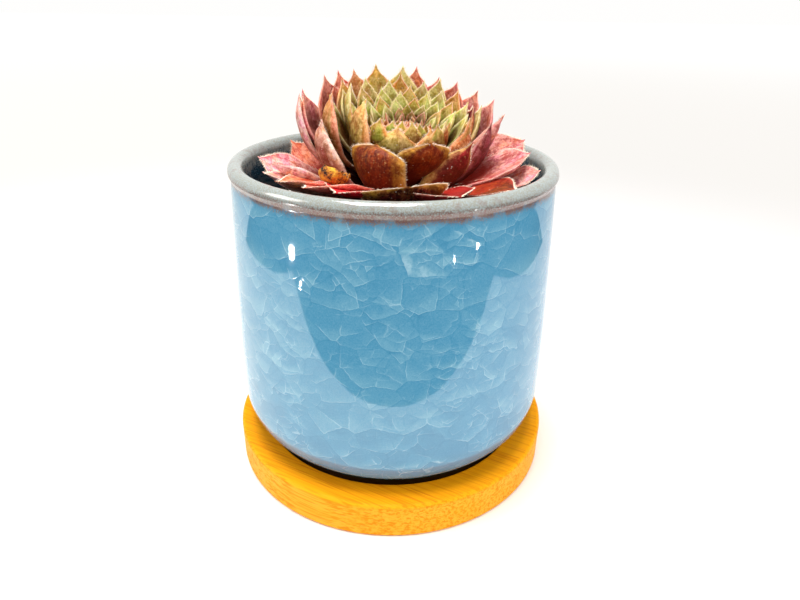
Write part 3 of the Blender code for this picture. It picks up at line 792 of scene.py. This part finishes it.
# One row for each leaf: azimuth, tip and foot as (radius, height), width, bend, roll, early,
# sweep, widest, body tint and edge tint, in millimetres and degrees.
DOME = (
    (183, (23.4, 21.2), (4.5, 0.5), 11.0, 46, 0, 1.25, 0, 0.66, "pink", "blush"),
    (176, (23.2, 21.0), (4.0, 2.0), 12.0, 44, 0, 1.3, 0, 0.66, "mauve", "pink"),
    (202, (18.9, 18.2), (4.0, 1.0), 15.5, 54, 6, 1.5, 4, 0.66, "clay", "blush"),
    (183, (16.2, 21.8), (4.5, 2.5), 12.5, 48, 14, 1.5, 3, 0.66, "olive", "coral"),
    (160, (13.4, 22.4), (3.5, 3.0), 8.5, 36, 20, 1.7, 2, 0.66, "olive", "straw"),
    (200, (8.9, 22.2), (3.6, 2.5), 14.0, 46, -8, 1.7, 4, 0.66, "olive", "tan"),
    (246, (12.6, 16.0), (7.5, 2.0), 14.2, 76, -10, 1.7, 8.5, 0.88, "rust", "ochre"),
    (298, (13.4, 17.8), (6.0, 0.5), 12.5, 20, -8, 1.7, -5, 0.80, "rust", "ochre"),
    (337, (17.3, 16.6), (8.0, -0.8), 9.2, 8, -74, 1.7, -14.5, 0.51, "garnet", "olive"),
    (262, (7.4, 18.6), (3.6, 3.5), 13.0, 50, 0, 1.7, 0, 0.66, "fern", "tan"),
    (313, (8.8, 18.6), (3.6, 3.5), 11.0, 50, -6, 1.7, -2, 0.66, "moss", "tan"),
    (349, (14.6, 18.0), (4.6, 2.0), 11.0, 42, -35, 1.7, -4, 0.66, "clay", "tan"),
    (3, (23.0, 20.5), (6.5, 0.4), 9.6, 18, -62, 1.7, -7, 0.50, "mauve", "pink"),
    (357, (20.0, 19.2), (5.0, 0.5), 12.5, 42, -25, 1.7, -3, 0.66, "plum", "mauve"),
    (18, (17.0, 20.2), (3.8, 2.5), 10.5, 42, -10, 1.7, 0, 0.66, "plum", "tan"),
    (21, (22.5, 21.0), (5.0, 1.0), 12.0, 38, 0, 1.7, 0, 0.66, "mauve", "pink"),
    (38, (22.4, 20.6), (4.5, 1.0), 12.0, 36, 0, 1.7, 0, 0.66, "mauve", "pink"),
    (54, (21.6, 20.8), (4.5, 1.0), 12.0, 36, 0, 1.7, 0, 0.66, "mauve", "coral"),
    (68, (22.0, 20.4), (4.5, 1.0), 12.0, 36, 0, 1.7, 0, 0.66, "mauve", "coral"),
    (84, (23.4, 21.4), (4.5, 1.0), 12.0, 36, 0, 1.7, 0, 0.66, "clay", "coral"),
    (93, (20.6, 22.2), (4.0, 2.5), 11.0, 36, 0, 1.7, 0, 0.66, "olive", "straw"),
    (110, (23.2, 21.4), (4.5, 1.0), 12.0, 36, 0, 1.7, 0, 0.66, "lime", "tan"),
    (126, (22.4, 20.8), (4.5, 2.0), 11.5, 36, 0, 1.7, 0, 0.66, "olive", "coral"),
    (136, (23.4, 20.8), (4.5, 1.0), 11.5, 38, 0, 1.7, 0, 0.66, "mauve", "coral"),
    (148, (23.2, 20.8), (4.5, 1.0), 12.0, 42, 0, 1.7, 0, 0.66, "mauve", "coral"),
)
for *shape, body_tint, edge_tint in DOME:
    head.leaf(*shape, body=body_tint, edge=edge_tint)

HEART_LEAVES = 72
HEART_START = 20
HEART_RADIUS = 18.4
HEART_RADIUS_IN_FRONT = 6.4
HEART_HEIGHT = 17.5
HEART_RISE = 3.9
HEART_SHIFT = (1.2, 1.0)
LEAF_DEEP = (0.80, 0.75, 0.75)
# The foot colour of the head's leaves, deepened in part as painted shade
LEAF_FOOT = (0.085, 0.012, 0.004)


def heart_colours(i, t, front):
    """Body, edge and pale_from of a heart leaf: straw inside, green outside, browner in front."""
    if t < 0.14:
        body = "straw"
    elif t > 0.8:
        body = "olive"
    else:
        body = "lime" if front < 0.3 else ("fern", "clay", "moss")[i % 3]
    if t < 0.18:
        return body, "rose", 0.65
    return body, "straw" if i % 3 and front < 0.5 else "tan", 0.80 if front > 0.3 else PALE_FROM


shift = head.right * HEART_SHIFT[0] + head.back * HEART_SHIFT[1]
for i in range(HEART_LEAVES):
    t = (i + 0.5) / HEART_LEAVES
    azimuth = HEART_START + i * GOLDEN_ANGLE
    front = max(0.0, -math.sin(math.radians(azimuth)))
    reach = HEART_RADIUS - (HEART_RADIUS - HEART_RADIUS_IN_FRONT) * front
    tip = (reach * t ** 0.62,
           HEART_HEIGHT + HEART_RISE * t ** 1.3 - 1.4 * front * t + 0.3 * math.sin(i * 2.4))
    head.origin = ROSETTE_FOOT + shift * (1 - t) ** 0.7
    body_tint, edge_tint, pale_from = heart_colours(i, t, front)
    head.leaf(azimuth, tip, (0.5 + 3.2 * t, 11.0 - 8.0 * t), 1.8 + 6.4 * t ** 0.8, 16 + 26 * t,
              thick=0.8 + 0.8 * t, cup=0.12, body=body_tint, edge=edge_tint,
              hair=0.10 + 0.2 * t, pale_from=pale_from)

leaf_skin = leaf_finish("houseleek_leaf", 0.36, LEAF_DEEP, LEAF_FOOT, 1.04)
piece("rosette_leaves", head.mesh("rosette_leaves"), leaf_skin, "bronze_green_leaf", "rosette")


# Crown and stem
# The leaves grow from a short thick crown on one stem, which stands in the soil.
# Both are covered in thin red brown bark with the scars of old leaves.

def core_mesh(name, parts, sides=24):
    """Closed round bodies: each part is (origin, axis, rings of (distance, radius))."""
    verts, faces = [], []
    for origin, direction, rings in parts:
        turn = Vector((0, 0, 1)).rotation_difference(direction).to_matrix()
        first = len(verts)
        for distance, radius in rings:
            for k in range(sides):
                a = 2 * math.pi * k / sides
                rough = 1 + 0.05 * math.sin(5 * a + distance)
                verts.append((origin + turn @ Vector((radius * rough * math.cos(a),
                                                      radius * rough * math.sin(a), distance))) * MM)
        for i in range(len(rings) - 1):
            for k in range(sides):
                n = (k + 1) % sides
                low, high = first + i * sides, first + (i + 1) * sides
                faces.append((low + k, low + n, high + n, high + k))
        faces.append(tuple(first + k for k in reversed(range(sides))))
        faces.append(tuple(len(verts) - sides + k for k in range(sides)))
    return smooth_mesh(name, verts, faces)


BARK_DARK = (0.10, 0.025, 0.018)
BARK_TAN = (0.26, 0.11, 0.05)
bark = Finish("stem", {"Roughness": 0.7})
scars = bark.cloud(bark.moved(bark.place, (1, 1, 3)), 500.0, 3.0)
bark.feed("Base Color", bark.mix(scars.step(0.35, 0.7), BARK_DARK, BARK_TAN))
bark.bump(scars, 0.0003)
stem = core_mesh("crown_and_stem", (
    (STEM, Vector((0, 0, 1)), ((52.3, 1.2), (58.0, 2.4), (64.0, 2.9), (71.5, 2.9))),
    (ROSETTE_FOOT + FOOT_DRIFT, axis,
     ((-1.2, 3.2), (0.4, 5.4), (4.4, 6.0), (9.0, 4.6), (12.0, 2.8), (14.0, 1.0)))))
piece("crown_and_stem", stem, bark, "bronze_green_leaf")


# Margin hairs
# Fine pale hairs fringe every leaf, a little longer and closer together at its point.
# They grow from the margin and lean towards the point.

HAIR_RADIUS = 0.062
HAIR_TAN = (0.90, 0.66, 0.46)
HAIR_WHITE = (0.96, 0.88, 0.76)

hair_skin = Finish("leaf_hair", {"Roughness": 0.5})
hair_noise = hair_skin.cloud(hair_skin.place, 4000.0, 1.0)
hair_skin.feed("Base Color", hair_skin.mix(hair_noise.step(0.3, 0.7), HAIR_TAN, HAIR_WHITE))


def fringe(name, foliage, slot):
    """A cone on every hair root, along the root's own aim."""
    recipe = Recipe(name, {"Hair radius": HAIR_RADIUS * MM})
    aim = recipe.node("GeometryNodeInputNamedAttribute", {"data_type": "FLOAT_VECTOR"},
                      {"Name": "aim"})["Attribute"]
    size = recipe.node("ShaderNodeVectorMath", {"operation": "LENGTH"}, {0: aim})["Value"]
    cone = recipe.node("GeometryNodeMeshCone", {"fill_type": "NGON"}, {
        "Vertices": 4, "Radius Top": 0.0, "Radius Bottom": 1.0, "Depth": 1.0})
    turn = recipe.node("FunctionNodeAlignRotationToVector", {"axis": "Z"}, {"Vector": aim})
    slim = recipe.node("ShaderNodeCombineXYZ", None, {
        0: recipe.given["Hair radius"], 1: recipe.given["Hair radius"], 2: size})
    hairs = recipe.node("GeometryNodeInstanceOnPoints", None, {
        "Points": recipe.node("GeometryNodeMeshToPoints", None, {"Mesh": recipe.given["Geometry"]}),
        "Instance": cone, "Rotation": turn, "Scale": slim})
    recipe.close(hairs, hair_skin.material)
    piece(name, recipe.run(name, foliage.root_mesh(name)), hair_skin, slot)


fringe("rosette_hairs", head, "bronze_green_leaf")


# Basal leaves
# The oldest leaves hang out to the rim under the head, red and pink, on a collar
# round the stem; some are folded or rolled as they wither.

UPRIGHT = (Vector((0, 0, 0)), Vector((0, 0, 1)), Vector((1, 0, 0)), Vector((0, 1, 0)))
BASAL_DRIFT = Vector((0.3, 5.2, 0.0))
OLD_LEAF_DEEP = (0.56, 0.32, 0.36)
# The foot colour of the old leaves, darkened in part as painted shade
OLD_LEAF_FOOT = (0.380, 0.022, 0.012)
# One row for each leaf, as in the rosette, with heights above the floor.
OLD = (
    (192, (31.2, 79.0), (4.5, 67.6), 14.5, 16, -22, 1.0, 0, 0.76, "blush", "pink"),
    (198, (28.8, 78.2), (4.5, 68.0), 6.0, 8, 46, 1.0, 3, 0.7, "blush", "blush"),
    (203, (31.0, 77.0), (4.5, 67.6), 11.0, 8, -4, 1.0, 0, 0.72, "peach", "blush"),
    (164, (26.5, 80.0), (4.5, 67.6), 13.5, 22, -18, 1.0, 0, 0.72, "peach", "coral"),
    (216, (30.5, 76.4), (4.5, 67.6), 12.5, -10, 6, 1.0, 0, 0.7, "clay", "coral"),
    (231, (29.0, 76.4), (4.5, 67.6), 12.0, -12, 10, 1.0, 3, 0.66, "crimson", "coral"),
    (246, (27.5, 76.2), (4.5, 67.6), 12.5, -12, 0, 1.0, 0, 0.7, "crimson", "crimson"),
    (277, (25.2, 77.8), (4.5, 67.6), 18.0, 20, 6, 1.2, 0, 0.86, "wine", "ochre"),
    (296, (31.0, 76.6), (4.5, 67.6), 14.0, -8, 0, 1.0, 0, 0.74, "garnet", "garnet"),
    (321, (33.0, 76.3), (4.5, 67.6), 15.0, -4, 4, 1.0, 0, 0.76, "rust", "garnet"),
    (347, (34.0, 77.2), (4.5, 67.4), 10.0, 14, 15, 1.0, 3, 0.86, "blush", "pink"),
    (355, (31.6, 80.0), (4.5, 67.8), 15.5, 5, 7, 1.0, -5, 0.8, "mauve", "pink"),
    (11, (32.2, 81.2), (4.5, 67.8), 14.0, 8, 30, 1.0, 0.5, 0.8, "mauve", "pink"),
    (46, (30.5, 80.0), (4.5, 67.6), 13.0, 22, 0, 1.0, 0, 0.72, "rose", "coral"),
    (72, (29.5, 79.2), (4.5, 67.6), 13.0, 20, 0, 1.0, 0, 0.72, "rose", "coral"),
    (100, (29.0, 79.0), (4.5, 67.6), 13.0, 22, 0, 1.0, 0, 0.72, "coral", "rose"),
    (132, (30.0, 79.6), (4.5, 67.6), 13.0, 22, 0, 1.0, 0, 0.72, "rose", "blush"),
)
skirt = Foliage(*UPRIGHT, BASAL_DRIFT, 5)
for *shape, body_tint, edge_tint in OLD:
    skirt.leaf(*shape, thick=1.5, cup=0.10, body=body_tint, edge=edge_tint, hair=0.50, wave=0.3)
old_skin = leaf_finish("old_leaf", 0.34, OLD_LEAF_DEEP, OLD_LEAF_FOOT, 0.86)
piece("old_leaves", skirt.mesh("old_leaves"), old_skin, "red_leaf", "basal_leaves")
fringe("old_leaf_hairs", skirt, "red_leaf")
collar = core_mesh("leaf_collar", ((STEM, Vector((0, 0, 1)), (
    (66.4, 5.8), (67.1, 6.5), (68.4, 6.5), (69.0, 5.8))),))
piece("leaf_collar", collar, bark, "red_leaf")


# Withered leaf
# One small leaf has dried orange brown and curled up between the head and the old leaves.
# It is thin, brittle and deeply wrinkled.

DRY_THICKNESS = 1.3
DRY_DARK_AND_CREASE_SHADE = (0.02, 0.008, 0.004)
DRY_BROWN = (0.55, 0.19, 0.018)
DRY_YELLOW = (0.72, 0.40, 0.03)

shrivel = Foliage(*UPRIGHT, Vector((0, 0, 0)), 8)
shrivel.leaf(229, (21.6, 79.9), (15.6, 76.7), 6.0, 62, 14, 1.0, thick=DRY_THICKNESS, cup=0.2,
             body="coral", hair=0, wave=0.9)
dry = Finish("dry_leaf", {"Roughness": 0.8})
folds = dry.cloud(dry.place, 600.0, 4.0, 0.7)
# The lowest folds are near black: partly the dry leaf's own dark brown, partly painted shade in its
# creases.
tone = dry.mix(folds.step(0.40, 0.52), DRY_DARK_AND_CREASE_SHADE, DRY_BROWN)
tone = dry.mix(folds.step(0.51, 0.62), tone, DRY_YELLOW)
dry.feed("Base Color", tone)
dry.bump(folds, 0.0012)
piece("withered_leaf_curl", shrivel.mesh("withered_leaf_curl"), dry, "dry_leaf", "withered_leaf")


# Floor and dark room
# A white sheet on a table, which fades into the white background; to the right of the pot a soft
# shadow is painted on it. Past its front and side edges the room is dark, which the glaze mirrors.

FLOOR_REACH = 6
FLOOR_WHITE = (0.84, 0.83, 0.80)
FLOOR_PAINTED_SHADOW = (0.70, 0.69, 0.70)
GLOW_WARM = (1, 0.985, 0.94)
GLOW_PAINTED_SHADOW = (0.94, 0.915, 0.88)
BACKDROP = (1.0, 0.995, 0.985)
ROOM_DARK = (0.03, 0.03, 0.035)
ROOM_REACH = 3
ROOM_HEIGHT = 0.0006
# The sheet's edge round the front of the pot, from the right side to the left
SHEET_EDGE = ((0.187, 0.10), (0.187, -0.085), (-0.187, -0.093), (-0.20, 0.08))
MATT = {"Roughness": 0.9, "Specular IOR Level": 0.1}


def sheet(name, corners, height, finish):
    """A flat stage piece at one height."""
    mesh = bpy.data.meshes.new(name)
    mesh.from_pydata([(x, y, height) for x, y in corners], [], [range(len(corners))])
    mesh.materials.append(finish.material)
    made = bpy.data.objects.new(name, mesh)
    bpy.context.scene.collection.objects.link(made)
    return made


white = Finish("floor", MATT)
away = white.node("ShaderNodeVectorMath", {"operation": "LENGTH"}, {0: white.place})["Value"]
distance = away.step(0.07, 0.42)
# Painted shadow: right of the pot the sheet's colour and glow turn greyer.
shadow_side = white.node("ShaderNodeSeparateXYZ", None, {0: white.place})["X"].step(0.0, 0.13)
near = white.mix(shadow_side, FLOOR_WHITE, FLOOR_PAINTED_SHADOW)
glow = white.mix(away.step(0.5, 2.0), white.mix(shadow_side, GLOW_WARM, GLOW_PAINTED_SHADOW), BACKDROP)
white.feed("Emission Strength", distance)
white.feed("Emission Color", glow)
white.feed("Base Color", white.mix(distance, near, (0, 0, 0)))
sheet("floor", [(x * FLOOR_REACH, y * FLOOR_REACH) for x, y in ((-1, -1), (1, -1), (1, 1), (-1, 1))],
      0.0, white)

dark = Finish("dark_room", {"Base Color": (*ROOM_DARK, 1), **MATT})
room = sheet("dark_room", (
    (-ROOM_REACH, -ROOM_REACH), (ROOM_REACH, -ROOM_REACH), (ROOM_REACH, SHEET_EDGE[0][1]),
    *SHEET_EDGE, (-ROOM_REACH, SHEET_EDGE[-1][1])), ROOM_HEIGHT, dark)
room.visible_camera = room.visible_diffuse = room.visible_shadow = room.visible_transmission = False


# Lamps and background
# Soft window light from above and from the left, and fills from the front and the right
# that the glaze doesn't mirror. Four tiny lamps make the small window lights on the glaze.

def lamp(name, place, aim, width, height, watts, colour, seen=True, mirrored=True):
    """A flat lamp at a place, turned to its aim, that the camera never shows."""
    data = bpy.data.lights.new(name, "AREA")
    data.shape, data.size, data.size_y = "RECTANGLE", width, height
    data.energy, data.color = watts, colour
    made = bpy.data.objects.new(name, data)
    bpy.context.scene.collection.objects.link(made)
    made.location = place
    made.rotation_euler = (Vector(aim) - Vector(place)).to_track_quat("-Z", "Y").to_euler()
    made.visible_camera = False
    made.visible_diffuse = seen
    made.visible_glossy = mirrored


lamp("top_light", (-0.05, 0.0, 0.70), (0, 0, 0.05), 0.4, 0.3, 7.0, (1.0, 0.985, 0.96))
lamp("left_light", (-0.75, -0.15, 0.45), (0, 0, 0.05), 0.4, 0.4, 3.2, (1.0, 0.98, 0.95))
lamp("front_fill", (0.10, -0.75, 0.50), (0, 0, 0.05), 0.5, 0.3, 1.9, (1.0, 0.98, 0.97), mirrored=False)
lamp("right_fill", (0.70, -0.25, 0.50), (0, 0, 0.04), 0.4, 0.4, 3.4, (1.0, 0.99, 0.98), mirrored=False)

# Each glint: its point on the pot's wall, the way and the distance to its lamp, size and watts.
for number, (wall, way, far, size, watts) in enumerate((
        ((-19.0, -32.8, 67.1), (-0.90, -0.32, -0.30), 150, (11, 5), 0.022),
        ((-17.5, -34.0, 60.2), (-0.84, -0.41, -0.35), 120, (2.5, 1.5), 0.003),
        ((16.6, -34.0, 69.2), (0.82, -0.50, -0.28), 150, (5, 2), 0.004),
        ((12.2, -35.9, 67.5), (0.64, -0.71, -0.30), 150, (3, 1.5), 0.002))):
    start = Vector(wall) * MM
    lamp(f"glint_{number}", start + Vector(way) * far * MM, start, size[0] * MM, size[1] * MM,
         watts, (1, 1, 1), seen=False)

world = bpy.data.worlds.new("studio")
bpy.context.scene.world = world
world.use_nodes = True
sky = Tree(world.node_tree)
seen = sky.node("ShaderNodeLightPath")
backdrop = sky.tree.nodes["Background"]
backdrop.inputs["Color"].default_value = (*BACKDROP, 1)
strength = seen["Is Camera Ray"].maths("MAXIMUM", seen["Is Glossy Ray"]) * 0.76 + 0.24
sky.tree.links.new(strength.socket, backdrop.inputs["Strength"])


# Camera
# It stands close in front of the pot, a little above it, and looks down on the leaves.

CAMERA_AT = (0.001963, -0.138917, 0.109528)
PITCH = 0.461985
ROLL = 0.016347
LENS = 26.55

view = bpy.data.cameras.new("camera")
view.sensor_width = 36.0
view.lens = LENS
view.clip_start = 0.001
camera = bpy.data.objects.new("camera", view)
bpy.context.scene.collection.objects.link(camera)
up = Vector((0, math.sin(PITCH), math.cos(PITCH)))
ahead = Vector((0, math.cos(PITCH), -math.sin(PITCH)))
sideways = Vector((1, 0, 0))
camera.matrix_world = Matrix.Translation(CAMERA_AT) @ Matrix((
    sideways * math.cos(ROLL) + up * math.sin(ROLL),
    up * math.cos(ROLL) - sideways * math.sin(ROLL), -ahead)).transposed().to_4x4()
bpy.context.scene.camera = camera
bpy.context.scene.view_settings.view_transform = "Standard"
